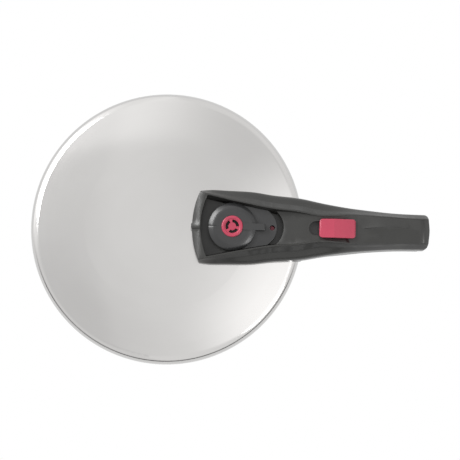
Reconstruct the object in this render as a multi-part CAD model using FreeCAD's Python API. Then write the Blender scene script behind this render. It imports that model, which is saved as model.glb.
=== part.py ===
"""Stovetop pressure cooker, closed: a deep pot with an encapsulated base and one long handle, and a bayonet
lid whose own long handle carries the selector valve, the pressure indicator and the sliding lock.

Frame: millimetres, +Z up, +X along both handles. The origin is the centre of the underside of the base, on
the axis about which the lid turns. Each piece is one STEP file in parts/, named after the piece.
"""

import FreeCAD
import Part
import math
import os

V = FreeCAD.Vector
UP = V(0, 0, 1)

# ---------------------------------------------------------------- driving dimensions
# Pot: deep-drawn steel vessel
POT_BORE_R = 110.0          # inside radius
POT_DEPTH = 158.0           # inside depth, floor to rim
POT_WALL = 1.0              # steel sheet
POT_CORNER_R = 12.0         # outside bend between wall and floor
RIM_BEND_R = 2.0            # bend under the rim flange
# Base: aluminium plate inside a steel cap
BASE_R = 95.0
BASE_CORE_T = 5.0
BASE_CAP_T = 0.8
# Bayonet
LUG_COUNT = 6
LUG_ANGLE = 26.0            # degrees that one lug spans
POT_LUG_REACH = 7.6         # pot lug, out from the pot's wall
POT_GAP_REACH = 3.2         # flange between the lugs, out from the pot's wall
LUG_GRIP = 3.8              # how far lid lugs reach in under pot lugs
LUG_PLAY = 1.2              # height between pot lugs and lid lugs
# Lid
LID_SHEET = 1.0
LID_RIM_PLAY = 2.9          # pot lug to lid skirt
LID_DOME_R = 1000.0         # crown of the lid
LID_SHOULDER_R = 500.0      # outer part of the crown, where it falls faster
LID_CORNER_R = 9.0          # tight bend above the skirt
SHOULDER_SLOPE = 9.0        # where the crown meets the corner, degrees from level
VALVE_FLAT_R = 14.0         # flats pressed in the crown
INDICATOR_FLAT_R = 9.0
SKIRT_HEIGHT = 5.0          # straight part of the skirt above the lugs
WINDOW_ANGLE = 150.0        # where the gasket's safety window is, degrees
WINDOW_LENGTH = 24.0
WINDOW_HEIGHT = 3.4
# Gasket: silicone ring with two lips
GASKET_LIP = 2.6
GASKET_GAP = 0.3            # free of the rim until the lid is pulled down
GASKET_WIDTH = 9.5
GASKET_LIP_REACH = 1.1      # upper lip, in from the start of the lid's corner
# Lid handle: measured out from the rim of the lid
HEAD_REACH = 99.1           # front of the head, in from the rim
GRIP_REACH = 110.8          # end of the grip, out from the rim
VALVE_INSET = 63.5          # selector axis, in from the rim
INDICATOR_OFFSET = 35.5     # indicator axis, out from the selector axis
LOBE_OFFSET = 21.0          # round end of the valve housing, out from the selector axis
HEAD_HALF_W = 32.9
FRONT_R = 76.0              # bow of the head's front, seen from above
FRONT_CORNER_R = 4.0
FRONT_BAND = 7.5            # front of the head to the well
INDEX_HALF_W = 2.2          # rib across the front band
INDEX_STAND = 0.8
GRIP_HALF_W = 15.5
GRIP_GAP = 2.0              # between the two grips
GRIP_HEIGHT = 23.0          # lid grip, cover to top
HANDLE_WALL = 3.2
GRIP_END_WALL = 6.0         # at the grip's end
SLIDE_HALF_W = 9.0          # plate of the lock's slide, under the panel
PANEL_T = 3.5               # roof over the lock
RIDGE_W = 1.1               # top of the ridge beside the well
RIDGE_BEND_R = 0.6          # rounding of the ridge
WALL_LEAN = 0.14            # inner wall of the ridge, out for each millimetre up
CREASE_BEND_R = 1.2         # rounding of the crease below the ridge
CREASE_SHARE = 0.40         # place of the crease between the ridge and the side
SIDE_BEND_R = 7.0           # bend between the upright side and the flank
SIDE_SHARE = 0.40           # height of the flank, as a share of the grip's
GRIP_END_R = 4.0
DISH_REACH = (47.0, 106.0)  # shallow dish on top of the grip, out from the rim
DISH_STEP = 0.35            # crisp edge of the dish
DISH_DEPTH = 1.2
DISH_LINE_Y = 1.1           # line where its two slopes meet
DISH_FADE = 20.0            # its near end runs in over this length
CRESCENT_REACH = (53.0, 98.5)
CRESCENT_BULGE = 2.2
CRESCENT_DEPTH = 0.25
STATION_PITCH = 14.0        # between the sections that shape a handle
WELL_FLOOR_T = 4.5          # handle floor over the lid, at the valve
CHIN_GAP = 1.7              # lid skirt to the end of the chin
VALLEY_REACH = 46.5         # end of the valley between the ridges, out from the rim
COVER_T = 2.5
BOSS_R = 5.0                # screw bosses
# Selector valve
KNOB_R = 21.1
KNOB_T = 4.6
HOUSING_R = 20.0
LOBE_R = 18.4
HOUSING_H = 9.8
HOUSING_WALL = 1.8
HOUSING_GAP = 0.35          # housing to the ridges beside it
LEVER_REACH = 29.0
LEVER_HALF_W = 2.9
LEVER_T = 2.4
CAP_R = 9.5
CAP_STAND = 1.0             # red cap above the knob
SPIGOT_R = 7.0              # valve body, and the knob's bearing
VALVE_BORE_R = 2.5
CHAMBER_R = 5.2
VALVE_DROP = 12.0           # valve body below the lid
REGULATOR_LIFT = 1.5
# Pressure indicator
INDICATOR_R = 1.6
INDICATOR_TIP_R = 1.9
BUSH_R = 4.0
BUSH_FLANGE_R = 7.2
BUSH_FLANGE_T = 2.0
INDICATOR_RISE = 5.0
INDICATOR_DEPTH = 4.2       # tip below the housing's top when down
# Sliding lock
BUTTON_INSET = 13.1         # near end of the button, out from the rim
BUTTON_L = 32.0
BUTTON_HALF_W = 8.2
BUTTON_H = 5.2
LOCK_TRAVEL = 8.0
SLOT_HALF_W = 6.35
PAWL_T = 2.5
PAWL_HALF_W = 5.0
PAWL_OFFSET = 11.0          # pawl, out from the near end of the button
PAWL_DEPTH = 4.2            # into the pot handle
BAR_T = 1.2
RIVET_R = 1.2
TONGUE_T = 2.0              # steel tongues in both handles
TONGUE_HALF_W = 12.0
# Pot handle
ROOT_HEIGHT = 21.0          # where it meets the flame guard
ROOT_DROP = 4.6             # root below the rim
ROOT_HALF_W = 18.0
GUARD_L = 6.0
GUARD_T = 0.8
POT_TONGUE_HALF_W = 7.0
POT_TONGUE_L = 32.0
POT_TONGUE_T = 4.0
# Clearances
SLIDE_GAP = 0.3             # between pieces that slide past each other
FIT = 0.15                  # between pieces that are fitted together
BEARING = 0.06              # knob on spigot
KNOB_CLEAR = 0.6            # knob to the ridges beside it
SCREW_R = 2.5
SCREW_HEAD_R = 4.4
SCREW_HEAD_T = 2.6

# ---------------------------------------------------------------- levels and places worked out from them
POT_R = POT_BORE_R + POT_WALL
POT_BOTTOM_Z = BASE_CAP_T + BASE_CORE_T
RIM_Z = POT_BOTTOM_Z + POT_WALL + POT_DEPTH
FLANGE_Z = RIM_Z - POT_WALL
POT_LUG_R = POT_R + POT_LUG_REACH
POT_GAP_R = POT_R + POT_GAP_REACH
LID_R = POT_LUG_R + LID_RIM_PLAY + LID_SHEET
LID_LUG_R = POT_LUG_R - LUG_GRIP
LID_LUG_TOP_Z = FLANGE_Z - LUG_PLAY
SKIRT_BOTTOM_Z = LID_LUG_TOP_Z - LID_SHEET
CORNER_Z = SKIRT_BOTTOM_Z + SKIRT_HEIGHT
CORNER_X = LID_R - LID_CORNER_R
SHOULDER_LEAN = math.radians(SHOULDER_SLOPE)
SHOULDER_X = CORNER_X - (LID_SHOULDER_R - LID_CORNER_R) * math.sin(SHOULDER_LEAN)
SHOULDER_Z = CORNER_Z - (LID_SHOULDER_R - LID_CORNER_R) * math.cos(SHOULDER_LEAN)
CROWN_LEAN = math.asin(SHOULDER_X / (LID_DOME_R - LID_SHOULDER_R))
DOME_Z = SHOULDER_Z - (LID_DOME_R - LID_SHOULDER_R) * math.cos(CROWN_LEAN)
LID_TOP_Z = DOME_Z + LID_DOME_R

HEAD_X = LID_R - HEAD_REACH
VALVE_X = LID_R - VALVE_INSET
INDICATOR_X = VALVE_X + INDICATOR_OFFSET
LOBE_X = VALVE_X + LOBE_OFFSET
GRIP_X = LID_R + GRIP_REACH
WELL_X = HEAD_X + FRONT_BAND
WELL_END_R = LOBE_R + 1.1
WELL_END_X = LOBE_X + 5.0

BUTTON_X = LID_R + BUTTON_INSET
PAWL_X = BUTTON_X + PAWL_OFFSET
RIVET_X = PAWL_X - RIVET_R - 1.2
SLOT_X0 = BUTTON_X - LOCK_TRAVEL - 1.0
STEM_X0 = BUTTON_X + 3.0
STEM_X1 = STEM_X0 + 20.0
SLOT_X1 = STEM_X1 + 0.6
BRACKET_SCREW_X = BUTTON_X + BUTTON_L + 10.5
COVER_SCREW_X = GRIP_X - 17.5


def lid_z(r):
    """Height of the lid's outside at radius r, on either part of the crown."""
    if r < LID_DOME_R * math.sin(CROWN_LEAN):
        return DOME_Z + math.sqrt(LID_DOME_R ** 2 - r ** 2)
    return SHOULDER_Z + math.sqrt(LID_SHOULDER_R ** 2 - (r - SHOULDER_X) ** 2)


VALVE_SEAT_Z = lid_z(VALVE_X) - 0.5
INDICATOR_SEAT_Z = lid_z(INDICATOR_X) - 0.3
SEAT_T = 1.7
FLOOR_Z = VALVE_SEAT_Z + WELL_FLOOR_T
HOUSING_Z = FLOOR_Z + FIT
HOUSING_TOP_Z = HOUSING_Z + HOUSING_H
KNOB_Z = HOUSING_TOP_Z + SLIDE_GAP
KNOB_TOP_Z = KNOB_Z + KNOB_T
PANEL_Z = KNOB_TOP_Z + 1.0   # flat part of the panel, under the button
RIDGE_Z = PANEL_Z + 2.6      # highest part of the ridges
GRIP_TOP_Z = PANEL_Z - 2.8   # end of the grip
COVER_Z = PANEL_Z - GRIP_HEIGHT - 2.0
POT_GRIP_Z = COVER_Z - GRIP_GAP
ROOF_Z = PANEL_Z - PANEL_T
TONGUE_Z = COVER_Z + 4.2     # underside of the lid handle's tongue
BAR_Z = TONGUE_Z + TONGUE_T + 0.6
ROOT_TOP_Z = RIM_Z - ROOT_DROP
POT_TONGUE_Z = ROOT_TOP_Z - ROOT_HEIGHT / 2 - POT_TONGUE_T / 2
POT_SCREW_X = POT_R + POT_TONGUE_L - 8.0
POT_SCREW_SEAT_Z = POT_TONGUE_Z - 2.5

# Stations of the lid handle: distance out from the lid's rim, half-width, ridge half-width, height of the
# ridge, depth of the crease below the ridge
HANDLE_STATIONS = [
    (-HEAD_REACH, HEAD_HALF_W - 0.2, HEAD_HALF_W - 3.4, KNOB_TOP_Z - 5.0, 0.2),
    (-HEAD_REACH + 10.0, HEAD_HALF_W, HEAD_HALF_W - 3.8, KNOB_TOP_Z + 0.4, 0.3),
    (-HEAD_REACH + 25.0, HEAD_HALF_W, HEAD_HALF_W - 7.0, KNOB_TOP_Z + 1.6, 0.9),
    (-VALVE_INSET + 3.0, HEAD_HALF_W - 0.2, KNOB_R + 2.1, RIDGE_Z - 1.4, 1.6),
    (-42.0, HEAD_HALF_W - 1.2, 19.6, RIDGE_Z - 0.6, 2.0),
    (-36.5, HEAD_HALF_W - 2.2, 18.6, RIDGE_Z - 0.4, 2.2),
    (-29.5, HEAD_HALF_W - 3.1, 17.5, RIDGE_Z - 0.2, 2.3),
    (-4.5, 27.5, 14.9, RIDGE_Z, 2.4),
    (16.0, 23.7, 11.7, RIDGE_Z - 1.2, 1.6),
    (40.0, 19.8, 12.9, PANEL_Z + 0.2, 0.3),
    (60.0, 17.8, 12.5, PANEL_Z - 0.9, 0.2),
    (82.0, GRIP_HALF_W + 0.6, 11.6, PANEL_Z - 2.0, 0.2),
    (GRIP_REACH, GRIP_HALF_W, 10.5, GRIP_TOP_Z, 0.2),
]
# Stations of the pot handle: distance out from the lid's rim, half-width, underside below the rim
POT_HANDLE_STATIONS = [
    (2.3, 22.0, 27.0),
    (30.0, 19.8, 18.0),
    (60.0, 16.6, 11.6),
    (86.0, 15.0, 8.8),
    (GRIP_REACH - 3.0, 14.6, 7.6),
]


# ---------------------------------------------------------------- shape helpers
def in_xz(u, v):
    return V(u, 0, v)


def in_xy(u, v):
    return V(u, v, 0)


def rounded_wire(corners, place):
    """Closed wire through corners (u, v, radius): straight sides, with an arc at each corner with a radius."""
    count = len(corners)
    joints = []
    for i, (u, v, radius) in enumerate(corners):
        here = V(u, v, 0)
        before = V(*corners[i - 1][:2], 0) - here
        after = V(*corners[(i + 1) % count][:2], 0) - here
        before.normalize()
        after.normalize()
        if radius <= 0:
            joints.append((here, None, here))
            continue
        half = before.getAngle(after) / 2
        inward = before + after
        inward.normalize()
        start = here + before * (radius / math.tan(half))
        end = here + after * (radius / math.tan(half))
        middle = here + inward * (radius / math.sin(half) - radius)
        joints.append((start, middle, end))
    edges = []
    for i, (start, middle, end) in enumerate(joints):
        previous = joints[i - 1][2]
        if previous.distanceToPoint(start) > 1e-6:
            edges.append(Part.LineSegment(place(previous.x, previous.y), place(start.x, start.y)).toShape())
        if middle is not None:
            points = [place(p.x, p.y) for p in (start, middle, end)]
            edges.append(Part.Arc(*points).toShape())
    return Part.Wire(edges)


def turned(corners, x=0.0):
    """Solid of revolution about a vertical axis at x, from corners (radius, height, corner radius)."""
    solid = Part.Face(rounded_wire(corners, in_xz)).revolve(V(0, 0, 0), UP, 360)
    return solid.translated(V(x, 0, 0))


def plate(corners, z0, z1):
    """Flat plate between two heights, from corners (x, y, corner radius)."""
    face = Part.Face(rounded_wire(corners, in_xy))
    return face.extrude(V(0, 0, z1 - z0)).translated(V(0, 0, z0))


def bar(corners, half_width):
    """Bar across Y, from corners (x, z, corner radius)."""
    face = Part.Face(rounded_wire(corners, in_xz))
    return face.extrude(V(0, 2 * half_width, 0)).translated(V(0, -half_width, 0))


def box(x0, x1, half_width, z0, z1):
    return Part.makeBox(x1 - x0, 2 * half_width, z1 - z0, V(x0, -half_width, z0))


def disc(radius, z0, z1, x=0.0, y=0.0):
    return Part.makeCylinder(radius, z1 - z0, V(x, y, z0), UP)


def tube(outer, inner, z0, z1, x=0.0):
    return disc(outer, z0, z1, x).cut(disc(inner, z0 - 1, z1 + 1, x))


def capsule(x0, x1, half_width, z0, z1):
    """Plate along X with round ends, from end to end."""
    return plate([(x0, -half_width, half_width - 0.01), (x1, -half_width, half_width - 0.01),
                  (x1, half_width, half_width - 0.01), (x0, half_width, half_width - 0.01)], z0, z1)


def hexagon(across_flats, z0, z1, x):
    corner_r = across_flats / math.sqrt(3)
    points = [(x + corner_r * math.cos(math.radians(60 * i)), corner_r * math.sin(math.radians(60 * i)), 0)
              for i in range(6)]
    return plate(points, z0, z1)


def sector(inner, outer, middle_angle, span, z0, z1):
    """Part of a ring, span degrees wide about middle_angle."""
    wedge = Part.makeCylinder(outer, z1 - z0, V(0, 0, z0), UP, span)
    wedge = wedge.cut(disc(inner, z0 - 1, z1 + 1))
    wedge.rotate(V(0, 0, 0), UP, middle_angle - span / 2)
    return wedge


def between_lugs(inner, outer, z0, z1):
    """The spaces between the bayonet lugs, with a lug centred on the handle."""
    pitch = 360.0 / LUG_COUNT
    spaces = [sector(inner, outer, pitch * (i + 0.5), pitch - LUG_ANGLE, z0, z1) for i in range(LUG_COUNT)]
    return Part.makeCompound(spaces)


def loft(sections):
    """Smooth solid through closed outlines across X, each (x, [(y, z, corner radius), ...])."""
    wires = []
    for x, outline in sections:
        wires.append(rounded_wire(outline, lambda u, v, x=x: V(x, u, v)))
    return Part.makeLoft(wires, True, False)


def along(stations, x, column):
    """A column of a stations table at x: a smooth curve through the stations that never overshoots them."""
    out = min(max(x - LID_R, stations[0][0]), stations[-1][0])
    places = [station[0] for station in stations]
    values = [station[column] for station in stations]
    slopes = [(values[i + 1] - values[i]) / (places[i + 1] - places[i]) for i in range(len(places) - 1)]
    tangents = [slopes[0]]
    for before, after in zip(slopes, slopes[1:]):
        tangents.append(2 * before * after / (before + after) if before * after > 0 else 0.0)
    tangents.append(slopes[-1])
    i = max(k for k in range(len(slopes)) if places[k] <= out)
    length = places[i + 1] - places[i]
    t = (out - places[i]) / length
    return (values[i] * (1 + 2 * t) * (1 - t) ** 2 + values[i + 1] * t * t * (3 - 2 * t)
            + length * t * (1 - t) * (tangents[i] * (1 - t) - tangents[i + 1] * t))


def evenly(x0, x1, pitch):
    """Places from x0 to x1, both included, at most pitch apart."""
    count = math.ceil((x1 - x0) / pitch)
    return [x0 + (x1 - x0) * i / count for i in range(count + 1)]


def arc_edge(centre_x, centre_z, radius, angle0, angle1):
    """Arc in the XZ plane between two slopes, measured from level."""
    def at(angle):
        return V(centre_x + radius * math.sin(angle), 0, centre_z + radius * math.cos(angle))

    return Part.Arc(at(angle0), at((angle0 + angle1) / 2), at(angle1)).toShape()


def lid_profile(gap):
    """Crown, shoulder and corner of the lid from its top to the skirt, grown by gap."""
    return [
        arc_edge(0, DOME_Z, LID_DOME_R + gap, 0, CROWN_LEAN),
        arc_edge(SHOULDER_X, SHOULDER_Z, LID_SHOULDER_R + gap, CROWN_LEAN, SHOULDER_LEAN),
        arc_edge(CORNER_X, CORNER_Z, LID_CORNER_R + gap, SHOULDER_LEAN, math.pi / 2),
    ]


def straight(points):
    """Straight edges from point to point."""
    return [Part.LineSegment(a, b).toShape() for a, b in zip(points, points[1:])]


def lid_envelope(gap):
    """Everything under the lid's outside, grown by gap: cut from what sits on the lid."""
    top = V(0, 0, LID_TOP_Z + gap)
    skirt = [V(LID_R + gap, 0, CORNER_Z), V(LID_R + gap, 0, SKIRT_BOTTOM_Z)]
    edges = lid_profile(gap) + straight([*skirt, V(0, 0, SKIRT_BOTTOM_Z), top])
    return Part.Face(Part.Wire(edges)).revolve(V(0, 0, 0), UP, 360)


# ---------------------------------------------------------------- pot
def pot_body():
    """Drawn vessel with a flat rim, cut back between the bayonet lugs."""
    corners = [
        (0, POT_BOTTOM_Z, 0),
        (POT_R, POT_BOTTOM_Z, POT_CORNER_R),
        (POT_R, FLANGE_Z, RIM_BEND_R),
        (POT_LUG_R, FLANGE_Z, 0),
        (POT_LUG_R, RIM_Z, 0),
        (POT_BORE_R, RIM_Z, RIM_BEND_R + POT_WALL),
        (POT_BORE_R, POT_BOTTOM_Z + POT_WALL, POT_CORNER_R - POT_WALL),
        (0, POT_BOTTOM_Z + POT_WALL, 0),
    ]
    return turned(corners).cut(between_lugs(POT_GAP_R, POT_LUG_R + 1, FLANGE_Z - 1, RIM_Z + 1))


def base_core():
    """Aluminium plate that spreads the heat."""
    return disc(BASE_R - BASE_CAP_T, BASE_CAP_T, POT_BOTTOM_Z)


def base_cap():
    """Steel cap pressed over the aluminium plate."""
    bend = BASE_CAP_T + 1.2
    corners = [
        (0, 0, 0),
        (BASE_R, 0, bend),
        (BASE_R, POT_BOTTOM_Z, 0),
        (BASE_R - BASE_CAP_T, POT_BOTTOM_Z, 0),
        (BASE_R - BASE_CAP_T, BASE_CAP_T, 0),
        (0, BASE_CAP_T, 0),
    ]
    return turned(corners)


def pot_bracket():
    """Steel foot welded to the pot's wall, with the tongue that carries the handle."""
    foot_z0 = ROOT_TOP_Z - ROOT_HEIGHT + 3.0
    foot_z1 = ROOT_TOP_Z - 3.0
    foot = tube(POT_R + 1.5, POT_R, foot_z0, foot_z1).common(box(0, 2 * POT_R, ROOT_HALF_W - 4.0, 0, RIM_Z))
    tongue = plate([
        (POT_R + 0.5, -POT_TONGUE_HALF_W, 0),
        (POT_R + POT_TONGUE_L, -POT_TONGUE_HALF_W, 3),
        (POT_R + POT_TONGUE_L, POT_TONGUE_HALF_W, 3),
        (POT_R + 0.5, POT_TONGUE_HALF_W, 0),
    ], POT_TONGUE_Z, POT_TONGUE_Z + POT_TONGUE_T)
    tongue = tongue.cut(disc(POT_R + 0.7, 0, RIM_Z))
    return foot.fuse(tongue).cut(disc(SCREW_R, 0, RIM_Z, POT_SCREW_X)).removeSplitter()


def flame_guard():
    """Thin steel sleeve between the pot and the handle's root."""
    x0 = POT_R + 1.5 + SLIDE_GAP
    x1 = x0 + GUARD_L
    outer = box(x0, x1, ROOT_HALF_W - 1.0, ROOT_TOP_Z - ROOT_HEIGHT + 1.0, ROOT_TOP_Z - 1.0)
    inner = box(x0 - 1, x1 - GUARD_T, ROOT_HALF_W - 1.0 - GUARD_T,
                ROOT_TOP_Z - ROOT_HEIGHT + 1.0 + GUARD_T, ROOT_TOP_Z - 1.0 - GUARD_T)
    passage = box(x0, x1 + 1, POT_TONGUE_HALF_W + FIT, POT_TONGUE_Z - FIT, POT_TONGUE_Z + POT_TONGUE_T + FIT)
    return outer.cut(inner).cut(passage)


def pot_handle():
    """Phenolic handle: deep at the root, flat on top, with a groove for the lock's pawl to turn and slide in."""
    sections = []
    top = POT_GRIP_Z
    for x in evenly(LID_R + POT_HANDLE_STATIONS[0][0], LID_R + POT_HANDLE_STATIONS[-1][0], STATION_PITCH):
        half_w = along(POT_HANDLE_STATIONS, x, 1)
        bottom = RIM_Z - along(POT_HANDLE_STATIONS, x, 2)
        sections.append((x, [(-half_w, bottom, 5.0), (half_w, bottom, 5.0),
                             (half_w, top, 1.2), (-half_w, top, 1.2)]))
    body = loft(sections)
    root_x = POT_R + 1.5 + SLIDE_GAP + GUARD_L
    front_x = LID_R + POT_HANDLE_STATIONS[0][0]
    root = box(root_x, front_x + 8.0, ROOT_HALF_W, ROOT_TOP_Z - ROOT_HEIGHT, ROOT_TOP_Z)
    body = body.fuse(root)
    end_w = POT_HANDLE_STATIONS[-1][1] + 0.1
    end_x = LID_R + POT_HANDLE_STATIONS[-1][0]
    trim = plate([(root_x, -60, 0), (end_x - 20, -60, 0), (end_x - 20, -end_w - 0.3, 0), (end_x, -end_w, 5.5),
                  (end_x, end_w, 5.5), (end_x - 20, end_w + 0.3, 0), (end_x - 20, 60, 0), (root_x, 60, 0)],
                 0, POT_GRIP_Z + 1)
    body = body.common(trim)
    # groove: an arc about the lid's axis for turning, and a pocket towards the pot for locking
    groove_z = POT_GRIP_Z - PAWL_DEPTH - 1.8
    play = 0.8
    half_angle = math.degrees(math.asin((PAWL_HALF_W + play) / PAWL_X))
    reach = math.hypot(PAWL_X + PAWL_T, PAWL_HALF_W) + play
    arc = sector(PAWL_X - play, reach, 10.0 - half_angle / 2, 20.0 + half_angle, groove_z, POT_GRIP_Z + 1)
    pocket = box(PAWL_X - LOCK_TRAVEL - play, PAWL_X + 1.0, PAWL_HALF_W + play, groove_z, POT_GRIP_Z + 1)
    passage = box(root_x - 1, POT_R + POT_TONGUE_L + FIT, POT_TONGUE_HALF_W + FIT,
                  POT_TONGUE_Z - FIT, POT_TONGUE_Z + POT_TONGUE_T + FIT)
    screw_hole = disc(SCREW_R + FIT, RIM_Z - 60, POT_TONGUE_Z + POT_TONGUE_T + 5.0, POT_SCREW_X)
    head_hole = disc(SCREW_HEAD_R + FIT, RIM_Z - 60, POT_SCREW_SEAT_Z, POT_SCREW_X)
    return body.cut(Part.makeCompound([passage, screw_hole, head_hole])).cut(arc).cut(pocket)


def screw(x, head_z, tip_z):
    """Pan-head screw from below: the head's bearing face is at head_z."""
    head = turned([(0, head_z - SCREW_HEAD_T, 0), (SCREW_HEAD_R, head_z - SCREW_HEAD_T, 1.2),
                   (SCREW_HEAD_R, head_z, 0), (0, head_z, 0)], x)
    shank = disc(SCREW_R - 0.02, head_z, tip_z, x)
    recess = Part.makeCompound([box(x - 2.2, x + 2.2, 0.5, head_z - SCREW_HEAD_T - 1, head_z - 1.0),
                                box(x - 0.5, x + 0.5, 2.2, head_z - SCREW_HEAD_T - 1, head_z - 1.0)])
    return head.fuse(shank).removeSplitter().cut(recess)


def pot_handle_screw():
    return screw(POT_SCREW_X, POT_SCREW_SEAT_Z, POT_TONGUE_Z + POT_TONGUE_T + 3.0)


# ---------------------------------------------------------------- lid
def lid_shell():
    """Drawn lid: shallow crown, round shoulder, skirt with lugs turned in, and pressed flats for the valves."""
    lip = [
        V(LID_R, 0, CORNER_Z), V(LID_R, 0, SKIRT_BOTTOM_Z), V(LID_LUG_R, 0, SKIRT_BOTTOM_Z),
        V(LID_LUG_R, 0, LID_LUG_TOP_Z), V(LID_R - LID_SHEET, 0, LID_LUG_TOP_Z),
        V(LID_R - LID_SHEET, 0, CORNER_Z),
    ]
    axis = straight([V(0, 0, LID_TOP_Z - LID_SHEET), V(0, 0, LID_TOP_Z)])
    edges = axis + lid_profile(0) + straight(lip) + lid_profile(-LID_SHEET)[::-1]
    shell = Part.Face(Part.Wire(edges)).revolve(V(0, 0, 0), UP, 360)
    shell = shell.cut(between_lugs(LID_LUG_R - 1, LID_R - LID_SHEET, SKIRT_BOTTOM_Z - 1, LID_LUG_TOP_Z + 0.5))
    for x, seat_z, radius, hole in ((VALVE_X, VALVE_SEAT_Z, VALVE_FLAT_R, SPIGOT_R + FIT),
                                    (INDICATOR_X, INDICATOR_SEAT_Z, INDICATOR_FLAT_R, BUSH_R + FIT)):
        shell = shell.cut(disc(radius, seat_z, LID_TOP_Z + 5, x))
        shell = shell.fuse(disc(radius, seat_z - SEAT_T, seat_z, x)).cut(disc(hole, 0, LID_TOP_Z + 5, x))
    window = box(LID_R - 3.0, LID_R + 3.0, WINDOW_LENGTH / 2,
                 CORNER_Z - WINDOW_HEIGHT / 2, CORNER_Z + WINDOW_HEIGHT / 2)
    window.rotate(V(0, 0, 0), UP, WINDOW_ANGLE)
    return shell.cut(window)


def gasket():
    """Silicone ring inside the lid's corner: one lip seals on the lid and the other on the pot's rim."""
    outside = LID_SHEET + SLIDE_GAP
    inside = outside + GASKET_LIP
    low = RIM_Z + GASKET_GAP
    foot_x = LID_R - outside
    root_slope = math.radians(75)
    lip_slope = math.asin((CORNER_X - GASKET_LIP_REACH - SHOULDER_X) / (LID_SHOULDER_R - outside))
    root_r = LID_CORNER_R - inside
    root = V(CORNER_X + root_r * math.sin(root_slope), 0, CORNER_Z + root_r * math.cos(root_slope))
    tip = V(foot_x - GASKET_WIDTH, 0, low)

    def lip_end(radius):
        return V(SHOULDER_X + radius * math.sin(lip_slope), 0, SHOULDER_Z + radius * math.cos(lip_slope))

    edges = [
        arc_edge(CORNER_X, CORNER_Z, LID_CORNER_R - outside, math.pi / 2, SHOULDER_LEAN),
        arc_edge(SHOULDER_X, SHOULDER_Z, LID_SHOULDER_R - outside, SHOULDER_LEAN, lip_slope),
        *straight([lip_end(LID_SHOULDER_R - outside), lip_end(LID_SHOULDER_R - inside)]),
        arc_edge(SHOULDER_X, SHOULDER_Z, LID_SHOULDER_R - inside, lip_slope, SHOULDER_LEAN),
        arc_edge(CORNER_X, CORNER_Z, root_r, SHOULDER_LEAN, root_slope),
        *straight([root, tip + V(0, 0, 1.5), tip, V(foot_x, 0, low), V(foot_x, 0, CORNER_Z)]),
    ]
    return Part.Face(Part.Wire(edges)).revolve(V(0, 0, 0), UP, 360)


def lid_bracket():
    """Steel tongue welded to the lid's crown, running out into the grip, with a window for the lock's pawl."""
    weld_x = INDICATOR_X + BUSH_FLANGE_R + 1.0
    step_x = weld_x + 5.0
    top_z = TONGUE_Z + TONGUE_T
    strip = bar([
        (weld_x, lid_z(weld_x) - 2.0, 0), (step_x, lid_z(weld_x) - 2.0, 0), (step_x + 2.0, TONGUE_Z, 0),
        (BRACKET_SCREW_X + 7.0, TONGUE_Z, 0), (BRACKET_SCREW_X + 7.0, top_z, 0), (step_x, top_z, 0),
        (weld_x, lid_z(weld_x) + TONGUE_T, 0),
    ], TONGUE_HALF_W)
    strip = strip.cut(lid_envelope(0.0))
    window = box(PAWL_X - LOCK_TRAVEL - 1.2, PAWL_X + PAWL_T + 1.2, PAWL_HALF_W + 1.2, 0, LID_TOP_Z + 20)
    return strip.cut(window).cut(disc(SCREW_R + FIT, 0, LID_TOP_Z + 20, BRACKET_SCREW_X))


# ---------------------------------------------------------------- lid handle
def handle_outside():
    """Outside of the lid handle before anything is cut from it: ridge, crease, flank and upright side."""
    sections = []
    low = COVER_Z - 8.0
    for x in evenly(LID_R + HANDLE_STATIONS[0][0], GRIP_X, STATION_PITCH):
        half_w, ridge_w, ridge_z, sag = (along(HANDLE_STATIONS, x, column) for column in (1, 2, 3, 4))
        side_z = ridge_z - SIDE_SHARE * (ridge_z - COVER_Z)
        crease_w = ridge_w + CREASE_SHARE * (half_w - ridge_w)
        crease_z = ridge_z + CREASE_SHARE * (side_z - ridge_z) - sag
        sections.append((x, [
            (-half_w, low, 0), (half_w, low, 0),
            (half_w, side_z, SIDE_BEND_R), (crease_w, crease_z, CREASE_BEND_R), (ridge_w, ridge_z, RIDGE_BEND_R),
            (-ridge_w, ridge_z, RIDGE_BEND_R), (-crease_w, crease_z, CREASE_BEND_R), (-half_w, side_z, SIDE_BEND_R),
        ]))
    return loft(sections)


def bowed(set_back, half_w, corner_r, x1):
    """Plan with a bowed front, set back from the head's, with round corners and parallel sides up to x1."""
    radius = FRONT_R - set_back
    centre_x = HEAD_X + FRONT_R
    corner_y = half_w - corner_r
    spread = math.asin(corner_y / (radius - corner_r))
    corner_x = centre_x - (radius - corner_r) * math.cos(spread)

    def on_corner(side, angle):
        return V(corner_x - corner_r * math.cos(angle), side * (corner_y + corner_r * math.sin(angle)), 0)

    def round_corner(side):
        return [on_corner(side, angle) for angle in (spread, (spread + math.pi / 2) / 2, math.pi / 2)]

    low, high = round_corner(-1), round_corner(1)
    edges = [
        Part.Arc(low[0], V(centre_x - radius, 0, 0), high[0]).toShape(),
        Part.Arc(*high).toShape(),
        *straight([high[2], V(x1, half_w, 0), V(x1, -half_w, 0), low[2]]),
        Part.Arc(*low[::-1]).toShape(),
    ]
    return Part.Face(Part.Wire(edges)).extrude(V(0, 0, RIDGE_Z + 20))


def handle_trim():
    """Plan of the lid handle's two ends: a bowed front with round corners, and a rounded grip end."""
    narrow = GRIP_HALF_W + 0.1
    step_x = LID_R + 82.0
    end = plate([(step_x - 1, -narrow - 1, 0), (GRIP_X - 1.5, -narrow, GRIP_END_R), (GRIP_X, 0, 40),
                 (GRIP_X - 1.5, narrow, GRIP_END_R), (step_x - 1, narrow + 1, 0)], 0, RIDGE_Z + 20)
    return bowed(0.0, HEAD_HALF_W + 0.2, FRONT_CORNER_R, step_x).fuse(end)


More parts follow.
